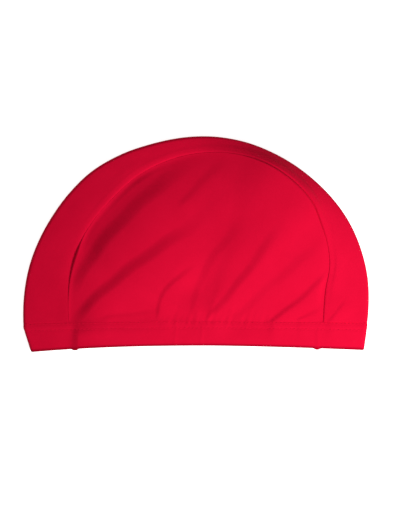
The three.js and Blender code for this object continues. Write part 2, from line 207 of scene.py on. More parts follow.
# Along the outline from the left end to the right one: the visible half width of the strip as a share of
# STRIP_HALF_WIDTH and how far it bellies out as a share of OUTLINE_SWELL. In millimetres: the height of the
# upper seam, how far the side panel stands above the strip there, how deep the panel and the strip roll
# down into it, how wide the strip's shoulder is there and how much the panel sinks beside it. Last, how
# clearly the seam allowance shows as a raised band of the strip, or below zero as a sunken one.
STATION_COLUMNS = (
    "share", "width", "swell", "height", "step",
    "panel_roll", "strip_roll", "shoulder", "sink", "allowance",
)
STATIONS = [dict(zip(STATION_COLUMNS, row)) for row in (
    (0.00, 1.020, 0.0, 10.8, 0.1, 0.2, 0.1, 1.0, 0.4, 0.0),
    (0.05, 0.995, 0.0, 10.2, 0.2, 0.3, 0.1, 2.0, 0.4, 0.0),
    (0.10, 0.935, 0.1, 9.5, 0.6, 1.0, 0.4, 6.0, 0.3, 0.0),
    (0.15, 0.875, 0.1, 9.3, 0.8, 1.5, 0.9, 9.0, 0.6, 0.0),
    (0.19, 0.820, 0.2, 9.2, -0.3, 0.4, 0.8, 8.0, 1.2, 0.0),
    (0.24, 0.765, 0.6, 8.9, -0.3, 0.2, 0.5, 5.0, 1.3, 0.1),
    (0.29, 0.700, 1.0, 8.6, -0.3, 0.2, 0.5, 4.5, 1.2, 0.1),
    (0.35, 0.570, 0.6, 7.5, -0.4, 0.2, 0.55, 4.5, 1.0, 0.1),
    (0.40, 0.480, 0.1, 6.9, -0.4, 0.2, 0.6, 4.5, 0.7, 0.1),
    (0.47, 0.385, 0.0, 7.0, -0.2, 0.2, 0.4, 3.5, 0.3, 0.1),
    (0.56, 0.330, -0.3, 9.7, 0.1, 0.3, 0.2, 2.0, 0.0, 0.2),
    (0.63, 0.315, -0.55, 12.4, 0.9, 1.3, 0.3, 1.2, 0.0, 0.7),
    (0.70, 0.350, -0.4, 13.2, 1.2, 1.8, 0.4, 1.2, 0.0, 1.1),
    (0.74, 0.405, -0.1, 12.8, 1.1, 1.7, 0.4, 1.2, 0.0, 1.2),
    (0.78, 0.530, 0.3, 11.7, 0.6, 1.2, 0.5, 1.2, 0.0, 0.9),
    (0.82, 0.615, 0.6, 11.0, 0.0, 0.6, 0.7, 1.5, 0.0, 0.0),
    (0.87, 0.745, 0.65, 10.2, -0.6, 0.2, 1.0, 1.9, 0.0, -0.4),
    (0.92, 0.940, 0.6, 9.6, -0.7, 0.1, 1.0, 1.9, 0.0, -0.2),
    (0.96, 1.000, 0.3, 9.3, -0.6, 0.1, 0.9, 1.7, 0.0, 0.0),
    (1.00, 1.000, 0.0, 9.0, -0.4, 0.1, 0.7, 1.5, 0.0, 0.0),
)]

# Folds of the cloth on top, in millimetres from the foot, each along a line from one point to another. Bow
# bends the line to its left, and a height below zero makes a hollow. The last two columns are the widths of
# the flanks on the left and right of the line. The last three rows are broad swells of the side panel.
FOLD_COLUMNS = ("start", "end", "bow", "height", "left_flank", "right_flank")
FOLDS = [dict(zip(FOLD_COLUMNS, row)) for row in (
    ((-94.0, 12.0), (2.0, 117.0), 10.5, 1.4, 10.5, 40.0),
    ((-95.0, -5.5), (7.0, 72.5), 5.0, 1.55, 9.0, 28.0),
    ((-33.0, -3.0), (-2.5, 41.5), 9.0, 0.55, 4.0, 14.0),
    ((-6.5, -3.0), (33.0, 74.0), 9.5, 0.55, 6.5, 20.0),
    ((0.0, -3.0), (63.0, 76.0), -2.4, 0.9, 6.5, 18.0),
    ((18.0, -5.0), (95.0, 61.0), 1.2, 0.45, 7.0, 15.0),
    ((38.0, -6.0), (100.0, 43.0), -3.0, 0.7, 4.0, 12.0),
    ((64.0, 0.8), (86.0, 8.0), 0.0, 0.26, 2.2, 7.0),
    ((84.0, -4.0), (104.0, 16.0), 0.0, 0.3, 2.2, 8.0),
    ((-78.0, 0.0), (-28.0, 5.0), 1.0, 0.25, 3.5, 7.0),
    ((-20.0, 79.0), (18.0, 115.0), 0.5, 0.4, 6.0, 12.0),
    ((-50.0, 26.0), (10.0, 98.0), 0.0, 0.3, 34.0, 60.0),
    ((-80.0, 40.0), (-20.0, 110.0), 0.0, 1.5, 27.0, 70.0),
    ((-10.0, 10.0), (50.0, 90.0), 0.0, -1.7, 28.0, 50.0),
)]

# The waves of the slack: millimetres to a radian along the rim and up from it, the start in radians, and
# how strong the wave is
RIPPLE_COLUMNS = ("across", "up", "start", "strength")
RIPPLES = [dict(zip(RIPPLE_COLUMNS, row)) for row in (
    (7.1, 11.3, 0.4, 1.0),
    (12.7, -6.3, 2.1, 1.0),
    (4.9, 5.7, 0.0, 0.7),
)]


def mix(a, b, t):
    return a + (b - a) * t


def smooth(value, low, high):
    """0 below low, 1 above high and 3t^2 - 2t^3 between them."""
    t = np.clip((value - low) / (high - low), 0, 1)
    return t * t * (3 - 2 * t)


def column(name, at):
    """One column of STATIONS at shares of the outline: a cubic through its rows, where the slope at a row
    is that between the rows before and after it."""
    share = np.array([row["share"] for row in STATIONS])
    value = np.array([row[name] for row in STATIONS])
    before = np.maximum(np.arange(len(share)) - 1, 0)
    after = np.minimum(np.arange(len(share)) + 1, len(share) - 1)
    slope = (value[after] - value[before]) / (share[after] - share[before])
    at = np.asarray(at, float)
    k = np.clip(np.searchsorted(share, at, side="left") - 1, 0, len(share) - 2)
    span = share[k + 1] - share[k]
    t = (at - share[k]) / span
    bend = span * (slope[k] * t * (1 - t) ** 2 - slope[k + 1] * t * t * (1 - t))
    return mix(value[k], value[k + 1], t * t * (3 - 2 * t)) + bend


def outline(share):
    """A quarter ellipse on each side of the crown's top, each carried on below its widest place to the hem
    line."""
    left_dip = np.arcsin(LEFT_BULGE / (CROWN_RISE - LEFT_BULGE))
    right_dip = np.arcsin(RIGHT_BULGE / (CROWN_RISE - RIGHT_BULGE))
    turn = mix(np.pi + left_dip, -right_dip, np.asarray(share, float))
    left = np.cos(turn) < 0
    reach = np.where(left, LEFT_REACH, RIGHT_REACH)
    bulge = np.where(left, LEFT_BULGE, RIGHT_BULGE)
    return reach * np.cos(turn), bulge + (CROWN_RISE - bulge) * np.sin(turn)


def inward(share, distance):
    """The point that lies inward of the outline by a distance, on the straight line to the foot."""
    x, y = outline(share)
    keep = 1 - distance / np.hypot(x, y)
    return x * keep, y * keep


def strip_width(share):
    return STRIP_HALF_WIDTH * column("width", share)


def dropped(x, y):
    """Bends hem line and rim down towards the corners: the drop grows with a power of the distance from the
    middle and fades with the square of the height above the rim."""
    left = x < 0
    drop = np.where(left, LEFT_RIM_DROP, RIGHT_RIM_DROP)
    reach = np.where(left, LEFT_REACH, RIGHT_REACH)
    power = np.where(left, LEFT_DROP_POWER, RIGHT_DROP_POWER)
    fade = np.maximum(0, 1 - (y + HEM_DEPTH) / DROP_FADE)
    return y - drop * np.abs(x / reach) ** power * fade**2


def fold_height(x, y):
    """Sum of the folds. Across a fold the height falls by a smooth step on either side, and along it the
    fold swells from nothing and dies out again. Its bow is half a sine wave over a power of the share of
    its length, and a small wave makes its line a little uneven."""
    height = np.zeros_like(x)
    for fold in FOLDS:
        start = np.array(fold["start"])
        along = np.array(fold["end"]) - start
        length = np.hypot(*along)
        ax, ay = along / length
        dx = x - start[0]
        dy = y - start[1]
        share = (dx * ax + dy * ay) / length
        on_fold = np.clip(share, 0, 1)
        bend = fold["bow"] * np.sin(np.pi * on_fold**BOW_POWER)
        bend = bend + WOBBLE * np.sin(share * length / WOBBLE_LENGTH + length)
        to_left = ax * dy - ay * dx - bend
        flank = np.where(to_left > 0, fold["left_flank"], fold["right_flank"])
        flank = flank * mix(*FOLD_SPREAD, on_fold)
        across = 1 - smooth(np.abs(to_left) / flank, 0, 1)
        height += fold["height"] * across * smooth(share, 0, FOLD_SWELLS) * smooth(1 - share, 0, FOLD_DIES)
    return height


def roll(distance, depth, width=None):
    """How far a cloth's edge rolls down at a distance from it: a quarter ellipse, or a quarter circle where
    no width is given."""
    width = depth if width is None else width
    left = np.clip(1 - distance / width, 0, 1)
    return depth * (1 - np.sqrt(1 - left**2))


def roll_inside(depth):
    """How far the inner face goes down with it, so that some of the wall is always left."""
    return np.maximum(depth - ROLL_IN_WALL * PANEL_WALL, 0)


def foot_place():
    """Where the foot lies in the frame: the left end and the top of the outline are those of the CAD
    strip."""
    share = np.linspace(0, 1, FOOT_POINTS)
    x, y = inward(share, -OUTLINE_SWELL * column("swell", share))
    low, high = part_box("crown_strip")
    return np.array([low.x / MM - x.min(), high.y / MM - y.max(), 0])


FOOT = foot_place()


def in_frame(points):
    return (points + FOOT) * MM


def add_piece(name, vertices, faces, cloth_uv, material):
    """A mesh object at the origin with smooth faces, and with a UV map in millimetres of cloth if one is
    given."""
    mesh = bpy.data.meshes.new(name)
    mesh.from_pydata(in_frame(vertices), [], faces)
    mesh.materials.append(material)
    mesh.polygons.foreach_set("use_smooth", np.ones(len(mesh.polygons), bool))
    if cloth_uv is not None:
        corner = np.empty(len(mesh.loops), np.int32)
        mesh.loops.foreach_get("vertex_index", corner)
        layer = mesh.uv_layers.new(name="cloth_mm")
        layer.data.foreach_set("uv", cloth_uv[corner].astype(np.float32).ravel())
    mesh.update()
    piece = bpy.data.objects.new(name, mesh)
    bpy.context.scene.collection.objects.link(piece)
    return piece


def grid_faces(index, flip=False):
    """Quads of one or more grids of vertex numbers. Seen from outside, columns and then rows turn
    counter-clockwise, or clockwise with flip."""
    corners = [index[..., :-1, :-1], index[..., 1:, :-1], index[..., 1:, 1:], index[..., :-1, 1:]]
    quads = np.stack(corners, -1).reshape(-1, 4)
    return quads[:, ::-1] if flip else quads


def shell(outside, inside):
    """A closed body from two grids of points, its outside and its inside, with walls along the four
    edges."""
    n, m = outside.shape[:2]
    outer = np.arange(n * m).reshape(n, m)
    inner = outer + n * m
    walls = (
        (inner[:, 0], outer[:, 0]),
        (outer[:, -1], inner[:, -1]),
        (outer[0], inner[0]),
        (inner[-1], outer[-1]),
    )
    quads = [grid_faces(outer), grid_faces(inner, flip=True)]
    faces = np.concatenate(quads + [grid_faces(np.stack(pair, 1)) for pair in walls])
    return np.concatenate([outside.reshape(-1, 3), inside.reshape(-1, 3)]), faces


def seam_shares(x, y):
    """The share of the outline that a point faces, seen from the foot. A point below the hem line faces an
    end."""
    share = np.linspace(0, 1, OUTLINE_POINTS)
    ox, oy = outline(share)
    angle = np.arctan2(np.maximum(oy, 0), -ox)
    return np.interp(np.arctan2(y, -x), angle, share)


def crowning(x, left, right, power):
    """0 at the left and right end and 1 at HEM_PEAK. It rises steeply first, as 1 - d^power, where d is the
    distance from the peak as a share of that to the end."""
    to_left = (HEM_PEAK - x) / (HEM_PEAK - left)
    to_right = (x - HEM_PEAK) / (right - HEM_PEAK)
    away = np.where(x < HEM_PEAK, to_left, to_right)
    return 1 - np.clip(away, 0, 1) ** power


def hem_height(x):
    """Height of the cloth at the hem line, from the fold at one end to that at the other."""
    left = outline(0)[0] + FOLD_RADIUS
    right = outline(1)[0] - FOLD_RADIUS
    return 2 * FOLD_RADIUS + (HEM_LOFT - 2 * FOLD_RADIUS) * crowning(x, left, right, HEM_CROWNING)


def gathers(x, y):
    """Small pleats where the hem draws the cloth together: two sine waves of unlike length that lean to the
    right, strongest in the middle of the hem and less by e^-(height / GATHER_REACH) above it."""
    lean = x - GATHER_LEAN * y
    wave = np.zeros_like(x)
    for spacing, strength, start in zip(GATHER_SPACINGS, GATHER_SHARES, GATHER_TURNS):
        wave += strength * np.sin(2 * np.pi * lean / spacing + start)
    where = smooth(x, *GATHER_START) * (1 - smooth(x, *GATHER_END))
    return GATHER_HEIGHT * wave * where * np.exp(-y / GATHER_REACH)


def ripples(x, y):
    """Faint slack of the cloth: a sum of long sine waves that cross each other."""
    height = np.zeros_like(x)
    for wave in RIPPLES:
        height += wave["strength"] * np.sin(x / wave["across"] + y / wave["up"] + wave["start"])
    return RIPPLE_HEIGHT * height


def strip_fade(from_outline, to_seam):
    """How much of the folds the crown strip shows: nothing on its fold and at its seam."""
    return smooth(from_outline, *STRIP_FOLD_RISE) * smooth(to_seam, 0, STRIP_FOLD_FADE)


def hem_slack(x, y):
    """What is left in the hem of the folds that run down into it: all at the hem line, and nothing
    FOLD_RUN_ON below it, or GATHER_REACH for the pleats. Below the crown strip folds fade out towards seam
    and outline as they do in the strip, and there are no pleats."""
    left = outline(0)[0]
    right = outline(1)[0]
    from_end = np.minimum(x - left, right - x)
    to_seam = np.where(x < 0, x - left - strip_width(0), right - strip_width(1) - x)
    in_panel = smooth(to_seam, 0, FOLD_EDGE_FADE)
    in_strip = strip_fade(from_end, -to_seam)
    shown = np.where(to_seam > 0, in_panel, in_strip)
    zero = np.zeros_like(x)
    folds = (fold_height(x, zero) + ripples(x, zero)) * smooth(y, -FOLD_RUN_ON, 0)
    pleats = np.where(to_seam > 0, gathers(x, zero), 0) * smooth(y, -GATHER_REACH, 0)
    return shown * (folds + pleats)


def edge_steps(radius, reach, turns=7):
    """Distances from an edge: even turns round its roll, then three steps, which grow, as far as reach."""
    rolled = radius * (1 - np.cos(np.linspace(0, np.pi / 2, turns)))
    return np.concatenate([rolled, radius + (reach - radius) * np.linspace(0, 1, 4)[1:] ** 1.5])


def panel_edge():
    """The edge of a side panel, once round: over the seam from left to right and back on the hem line."""
    share = np.linspace(0, 1, SEAM_STEPS + 1)
    sx, sy = inward(share, strip_width(share))
    hx = np.linspace(sx[-1], sx[0], HEM_LINE_STEPS + 1)[1:-1]
    return np.concatenate([sx, hx]), np.concatenate([sy, np.zeros_like(hx)])


def panel_grid(rows):
    """Rays from the middle of a panel to its edge. Along each ray the points lie at given distances from
    the edge, and from there on evenly to just short of the middle."""
    ex, ey = panel_edge()
    length = np.hypot(ex - PANEL_MIDDLE[0], ey - PANEL_MIDDLE[1])
    steps = edge_steps(WIDEST_ROLL, EDGE_BAND, EDGE_TURNS)
    near = 1 - steps[None] / length[:, None]
    far = np.linspace(1, 0, rows)[1:-1]
    t = np.concatenate([near, near[:, -1:] * far], 1)
    x = PANEL_MIDDLE[0] + (ex - PANEL_MIDDLE[0])[:, None] * t
    y = PANEL_MIDDLE[1] + (ey - PANEL_MIDDLE[1])[:, None] * t
    return x, y


def seam_distance(x, y, share):
    """How far a point of a side panel lies inside its seam, on the line to the foot."""
    return np.maximum(np.hypot(*inward(share, strip_width(share))) - np.hypot(x, y), 0)


def upper_panel_height(x, y, share, to_seam):
    """The dome of the upper side panel with its folds. Between seam and hem line the edge heights are mixed
    by distance, and 1 - e^-(u / DOME_REACH)^power of the puff comes on top, where u is the product of the
    distances to both over their sum. Beside the seam the panel sinks by 1 - e^-(distance / SINK_LENGTH)."""
    both = to_seam + y + 1e-6  # never zero, at the corners too
    inside = to_seam * np.maximum(y, 0) / both
    at_seam = column("height", share) + column("step", share)
    at_seam = at_seam - column("sink", share) * (1 - np.exp(-to_seam / SINK_LENGTH))
    edge = mix(at_seam, hem_height(x), to_seam / both)
    change = smooth(x, *PUFF_CHANGE)
    puff = mix(LEFT_PUFF, RIGHT_PUFF, change)
    power = mix(LEFT_PUFF_POWER, RIGHT_PUFF_POWER, change)
    slack = smooth(to_seam, 0, FOLD_EDGE_FADE) * (fold_height(x, y) + ripples(x, y) + gathers(x, y))
    return edge + puff * (1 - np.exp(-((inside / DOME_REACH) ** power))) + slack


def disc(outside, inside, faces_up):
    """A closed body from two fans of rays, joined along their edge. Each fan is a grid of ray and row that
    runs from the edge to the middle, closed there by a point."""
    n = len(outside)
    parts = []
    numbers = []
    start = 0
    for fan in (outside, inside):
        m = fan.shape[1]
        ring = np.arange(n * m).reshape(n, m) + start
        ring = np.concatenate([ring, ring[:1]])
        middle = start + n * m
        parts += [fan.reshape(-1, 3), fan[:, -1].mean(0)[None]]
        numbers.append((ring, np.stack([ring[:-1, -1], ring[1:, -1], np.full(n, middle)], 1)))
        start = middle + 1
    (outer, outer_tip), (inner, inner_tip) = numbers
    quads = [
        grid_faces(outer, flip=faces_up),
        grid_faces(inner, flip=not faces_up),
        grid_faces(np.stack([inner[:, 0], outer[:, 0]], 1), flip=faces_up),
    ]
    tips = [outer_tip[:, ::-1], inner_tip] if faces_up else [outer_tip, inner_tip[:, ::-1]]
    return np.concatenate(parts), np.concatenate(quads).tolist() + np.concatenate(tips).tolist()


def upper_panel():
    """The dome, with edges that roll down into seam and hem line, and its inner face a wall below it."""
    fans = []
    for rows, is_outside in ((PANEL_ROWS, True), (INSIDE_ROWS, False)):
        x, y = panel_grid(rows)
        share = seam_shares(x, y)
        to_seam = seam_distance(x, y, share)
        rolled = roll(to_seam, column("panel_roll", share)) + roll(y, HEM_ROLL)
        down = rolled if is_outside else PANEL_WALL + roll_inside(rolled)
        up = upper_panel_height(x, y, share, to_seam) - down
        fans.append(np.stack([x, dropped(x, y), up], -1))
    return disc(*fans, faces_up=True)


def lower_panel():
    """Flat on the floor, with edges that roll up into the seams."""
    x, y = panel_grid(INSIDE_ROWS)
    to_seam = seam_distance(x, y, seam_shares(x, y))
    outside = np.stack([x, dropped(x, y), roll(to_seam, BACK_ROLL) + roll(y, HEM_ROLL)], -1)
    inside = np.stack([x, dropped(x, y), np.full_like(x, PANEL_WALL)], -1)
    return disc(outside, inside, faces_up=False)


def strip_sections(share):
    """The folded edge in section at each share: from the upper seam over the flank, round the fold and back
    along the floor to the lower seam. The flank is a curve with one control point, laid out along the way
    that leads out of the fold. Its inner face lies a wall below it, square to the curve and, ever more near
    the seam, straight down. Returns how far each section bellies out, how many points are on its flank, and
    distance inward and height, outside and inside."""
    swell = OUTLINE_SWELL * column("swell", share)
    width = (strip_width(share) + swell)[:, None]
    up = column("height", share)[:, None]

    # The flank's curve, and its slope
    leave = np.arctan2(up - 2 * FOLD_RADIUS, width - FOLD_RADIUS) + FLANK_TURN
    start_in = FOLD_RADIUS * (1 - np.sin(leave))
    start_up = FOLD_RADIUS * (1 + np.cos(leave))
    pull = np.hypot(width - start_in, up - start_up) / 2
    control_in = start_in + pull * np.cos(leave)
    control_up = start_up + pull * np.sin(leave)
    near = edge_steps(WIDEST_ROLL, EDGE_BAND, EDGE_TURNS)[None] / (width - start_in)
    far = mix(near[:, -1:], 1, np.linspace(0, 1, FLANK_STEPS + 1)[None, 1:-1])
    t = 1 - np.concatenate([near, far], 1)
    flank_in = (1 - t) ** 2 * start_in + 2 * t * (1 - t) * control_in + t**2 * width
    flank_up = (1 - t) ** 2 * start_up + 2 * t * (1 - t) * control_up + t**2 * up
    slope_in = 2 * (1 - t) * (control_in - start_in) + 2 * t * (width - control_in)
    slope_up = 2 * (1 - t) * (control_up - start_up) + 2 * t * (up - control_up)
    size = np.hypot(slope_in, slope_up)

    # The seam allowance and the roll down into the seam
    from_seam = width - flank_in
    shown = column("allowance", share)[:, None] * ALLOWANCE_RISE
    band_end = smooth(from_seam, ALLOWANCE_WIDTH - ALLOWANCE_EDGE, ALLOWANCE_WIDTH)
    band = shown * (smooth(from_seam, 0, ALLOWANCE_START) - band_end)
    rolled = roll(from_seam, column("strip_roll", share)[:, None], column("shoulder", share)[:, None])
    straight = t**STRAIGHT_POWER
    outer_in = [flank_in]
    outer_up = [flank_up + band - rolled]
    inner_in = [flank_in + PANEL_WALL * slope_up / size * (1 - straight)]
    inner_up = [flank_up - PANEL_WALL * mix(slope_in / size, 1, straight) - roll_inside(rolled)]

    # Round the fold
    turn = mix(np.pi / 2 + leave, 3 * np.pi / 2, np.linspace(0, 1, ARC_STEPS + 1)[None])
    inner_radius = FOLD_RADIUS - PANEL_WALL
    outer_in.append(FOLD_RADIUS + FOLD_RADIUS * np.cos(turn))
    outer_up.append(FOLD_RADIUS + FOLD_RADIUS * np.sin(turn))
    inner_in.append(FOLD_RADIUS + inner_radius * np.cos(turn))
    inner_up.append(FOLD_RADIUS + inner_radius * np.sin(turn))

    # Back along the floor
    even = mix(FOLD_RADIUS, width, np.linspace(0, 1, BACK_STEPS + 1)[None, 1:-1])
    back = np.concatenate([even, width - edge_steps(BACK_ROLL, EDGE_BAND)[None, ::-1]], 1)
    back = np.sort(np.broadcast_to(back, (len(share), back.shape[1])), 1)
    outer_in.append(back)
    outer_up.append(roll(width - back, BACK_ROLL))
    inner_in.append(back)
    inner_up.append(np.full_like(back, PANEL_WALL))
    lines = [np.concatenate(part, 1) for part in (outer_in, outer_up, inner_in, inner_up)]
    return swell, flank_in.shape[1], lines


def crown_strip():
    """One section at each share, which lie closer together at the hem line, where the cloth rolls down."""
    close = edge_steps(HEM_ROLL, STRIP_END_BAND) / (np.pi * CROWN_RISE)  # over about the outline's length
    even = np.linspace(close[-1], 1 - close[-1], STRIP_STEPS)
    share = np.concatenate([close[:-1], even, 1 - close[-2::-1]])
    swell, flank_steps, (outer_in, outer_up, inner_in, inner_up) = strip_sections(share)
    top = np.arange(outer_in.shape[1]) < flank_steps
    sides = []
    for distance, up, is_outside in ((outer_in, outer_up, True), (inner_in, inner_up, False)):
        x, y = inward(share[:, None], distance - swell[:, None])
        y = np.maximum(y, 0)
        shown = strip_fade(distance, strip_width(share)[:, None] - distance)
        up = up + top * shown * (fold_height(x, y) + ripples(x, y))
        if is_outside:
            up = up + np.where(top, -1, 1) * roll(y, HEM_ROLL)
        sides.append(np.stack([x, dropped(x, y), up], -1))
    along = np.concatenate([[0], np.cumsum(np.hypot(*np.diff(np.stack(outline(share)), axis=1)))])
    steps = np.hypot(np.diff(outer_in), np.diff(outer_up))
    section = np.concatenate([np.zeros((len(share), 1)), np.cumsum(steps, 1)], 1)
    uv = np.stack([np.broadcast_to(along[:, None], section.shape), section], -1).reshape(-1, 2)
    return shell(*sides) + (np.concatenate([uv, uv]),)


def hem_ring(down, around):
    """The hem's outside in section at a share of the way from hem line to rim: points round the ring, from
    the left fold over the top to the right fold and back along the floor, evenly spaced. Returns them and
    the length of the ring."""
    drawn_in = max(down - INSET_START, 0) / (1 - INSET_START)
    left = outline(0)[0] + LEFT_RIM_INSET * drawn_in
    right = outline(1)[0] - RIGHT_RIM_INSET * drawn_in
    rise = mix(HEM_LOFT, RIM_LOFT, down) - 2 * FOLD_RADIUS
    power = mix(HEM_CROWNING, RIM_CROWNING, down)
    arcs = []
    for end in (left, right):
        leave = np.arctan(power * rise / abs(HEM_PEAK - end))
        turn = np.linspace(3 * np.pi / 2, np.pi / 2 + leave, HEM_FOLD_POINTS)
        arcs.append((FOLD_RADIUS * (1 + np.cos(turn)), FOLD_RADIUS * (1 + np.sin(turn))))
    (left_in, left_up), (right_in, right_up) = arcs
    top = np.linspace(left + left_in[-1], right - right_in[-1], HEM_TOP_POINTS)[1:-1]
    base = np.interp(top, (top[0], top[-1]), (left_up[-1], right_up[-1]))
    shape = crowning(top, left + left_in[-1], right - right_in[-1], power)
    top_up = base + (rise + 2 * FOLD_RADIUS - base) * shape
    back = np.linspace(right - FOLD_RADIUS, left + FOLD_RADIUS, HEM_BACK_POINTS)[1:-1]
    x = np.concatenate([left + left_in, top, (right - right_in)[::-1], back])
    z = np.concatenate([left_up, top_up, right_up[::-1], np.zeros_like(back)])
    step = np.hypot(np.diff(x, append=x[0]), np.diff(z, append=z[0]))
    place = np.concatenate([[0], np.cumsum(step)])
    want = np.linspace(0, place[-1], around, endpoint=False)
    even_x = np.interp(want, place, np.append(x, x[0]))
    even_z = np.interp(want, place, np.append(z, z[0]))
    return even_x, even_z, place[-1]


def hem_dents(x, y):
    """How deep the hem's outside is dented: by bell-shaped grooves under the stitch rows, and less than
    nothing on the bell-shaped ridges at the side seams and on two faint slanting creases."""
    dent = np.zeros_like(x)
    for row in STITCH_ROWS:
        dent += STITCH_DENT * np.exp(-(((y - row) / STITCH_DENT_WIDTH) ** 2))
    for ridge in HEM_RIDGES:
        off = x - ridge["place"]
        fade = np.where(off < 0, ridge["to_left"], ridge["to_right"])
        dent -= ridge["height"] * np.exp(-((off / fade) ** 2)) * smooth(-y, 0, HEM_RIDGE_RISE)
    for crease in HEM_CREASES:
        off = x - crease - CREASE_LEAN * y
        dent -= CREASE_HEIGHT * np.exp(-((off / CREASE_WIDTH) ** 2))
    return dent


def hem_surface(y, depth, around=HEM_AROUND):
    """Points of the hem, round the ring, at each y and at each depth below its outside. The outward
    direction at a point is square to the ring's section, and nothing goes below the floor."""
    points = []
    for this_y, this_depth in zip(y, depth):
        x, z, _ = hem_ring(min(-this_y / HEM_DEPTH, 1), around)
        dx = np.roll(x, -1) - np.roll(x, 1)
        dz = np.roll(z, -1) - np.roll(z, 1)
        out_x = -dz / np.hypot(dx, dz)
        out_z = dx / np.hypot(dx, dz)
        on_outside = this_depth < HEM_WALL / 2
        deep = this_depth + hem_dents(x, this_y) * on_outside
        slack = np.maximum(out_z, 0) * hem_slack(x, this_y)
        up = np.maximum(z - out_z * deep + slack, 0)
        points.append(np.stack([x - out_x * deep, np.full_like(x, this_y), up], -1))
    return np.stack(points, 1)


def hem_band():
    """A closed ring: from the hem line down the outside, round the rim and up the inside."""
    # Down the outside, with rows closer together at the hem line and the stitches
    rolled_y = -edge_steps(HEM_ROLL, HEM_LINE_BAND)
    even_y = -np.arange(0, HEM_DEPTH - RIM_ROUND, HEM_ROW_STEP)
    band = np.linspace(-STITCH_BAND, STITCH_BAND, STITCH_BAND_ROWS)
    stitch_y = (np.array(STITCH_ROWS)[:, None] + band).ravel()
    rows = np.unique(np.concatenate([even_y, stitch_y]))[::-1]
    outer_y = np.concatenate([rolled_y, rows[(rows < rolled_y[-1]) & (rows > RIM_ROUND - HEM_DEPTH)]])
    outer_depth = roll(-outer_y, HEM_ROLL)

    # Round the rim and up the inside
    turn = np.linspace(0, np.pi, RIM_TURNS)
    rim_y = RIM_ROUND - HEM_DEPTH - RIM_ROUND * np.sin(turn)
    rim_depth = HEM_WALL / 2 * (1 - np.cos(turn))
    inner_y = np.linspace(RIM_ROUND - HEM_DEPTH, 0, HEM_INSIDE_ROWS)[1:]
    y = np.concatenate([outer_y, rim_y, inner_y])
    depth = np.concatenate([outer_depth, rim_depth, np.full_like(inner_y, HEM_WALL)])
    points = hem_surface(y, depth)

    # The thick ends of the seams, as bells with a flat top
    for place in HEM_SEAM_ENDS:
        knob = HEM_SEAM_KNOB * np.exp(-(((points[..., 0] - place) / HEM_SEAM_KNOB_WIDTH) ** 4))
        points[..., 1] -= knob * smooth(-points[..., 1], HEM_DEPTH - HEM_SEAM_KNOB_LENGTH, HEM_DEPTH)
    points[..., 1] = dropped(points[..., 0], points[..., 1])

    n, m = points.shape[:2]
    index = np.arange(n * m).reshape(n, m)
    index = np.concatenate([index, index[:1]])
    index = np.concatenate([index, index[:, :1]], 1)
    along = np.arange(n) * hem_ring(0, n)[2] / n
    down = np.cumsum(np.hypot(np.diff(y, prepend=y[0]), np.diff(depth, prepend=depth[0])))
    uv = np.stack(np.broadcast_arrays(along[:, None], down[None]), -1)
    return points.reshape(-1, 3), grid_faces(index, flip=True), uv.reshape(-1, 2)


def stitch_row(place):
    """One row of straight stitches round the hem, as an array by stitch, ring and corner. Each is a rounded
    rod whose thickness falls to its ends as the fourth root of 1 - u^4, and its ends dive into the cloth,
    with u^4 too."""
    length = hem_ring(-place / HEM_DEPTH, STITCH_LINE_POINTS)[2]
    count = int(length / STITCH_PITCH)
    line = hem_surface([place], [0], around=count * STITCH_SAMPLES)[:, 0]
    line[:, 1] = dropped(line[:, 0], line[:, 1])
    ahead = np.roll(line, -1, 0) - np.roll(line, 1, 0)
    out = np.stack([-ahead[:, 2], np.zeros(len(line)), ahead[:, 0]], 1)
    out /= np.hypot(ahead[:, 0], ahead[:, 2])[:, None]
    half = int(STITCH_SAMPLES * STITCH_LENGTH / STITCH_PITCH / 2)
    steps = np.linspace(-half, half, STITCH_RINGS).astype(int)
    index = (np.arange(count)[:, None] * STITCH_SAMPLES + steps) % len(line)
    u = steps / half
    thick = STITCH_WIDTH / 2 * np.sqrt(np.sqrt(np.maximum(1 - u**4, STITCH_TIP)))
    centre = line[index] + out[index] * (STITCH_STAND - STITCH_SINK * u**4)[:, None]
    turn = np.linspace(0, 2 * np.pi, STITCH_SIDES + 1)[:-1, None]
    across = np.array([0, 1, 0])
    spokes = np.cos(turn) * out[index][:, :, None] + np.sin(turn) * across
    return centre[:, :, None] + thick[:, None, None] * spokes


def cover_stitches():
    """The stitches of both rows, each closed by flat ends. Those under the cap are flat on the floor."""
    rings = np.concatenate([stitch_row(place) for place in STITCH_ROWS])
    number = np.arange(rings[..., 0].size).reshape(rings.shape[:3])
    number = np.concatenate([number, number[..., :1]], 2)
    ends = number[:, 0, :-1].tolist() + number[:, -1, -2::-1].tolist()
    rods = rings.reshape(-1, 3)
    rods[:, 2] = np.maximum(rods[:, 2], 0)
    return rods, grid_faces(number).tolist() + ends


def linear(hex_colour):
    """sRGB hex to the linear colour that a shader socket takes."""
    channel = np.array([int(hex_colour[k:k + 2], 16) / 255 for k in (1, 3, 5)])
    value = np.where(channel <= 0.04045, channel / 12.92, ((channel + 0.055) / 1.055) ** 2.4)
    return (*value, 1.0)


def add_node(material, kind, settings=None, **inputs):
    """Adds a node with its settings, and values or links on its inputs: by name, or by number as i0, i1 and
    so on. A node given as a value stands for its first output."""
    node = material.node_tree.nodes.new(kind)
    for name, value in (settings or {}).items():
        setattr(node, name, value)
    for name, value in inputs.items():
        numbered = name[0] == "i" and name[1:].isdigit()
        socket = node.inputs[int(name[1:]) if numbered else name.replace("_", " ")]
        if isinstance(value, bpy.types.Node):
            value = value.outputs[0]
        if isinstance(value, bpy.types.NodeSocket):
            material.node_tree.links.new(value, socket)
        else:
            socket.default_value = value
    return node


def new_material(name):
    material = bpy.data.materials.new(name)
    material.use_nodes = True
    material.node_tree.nodes.clear()
    return material


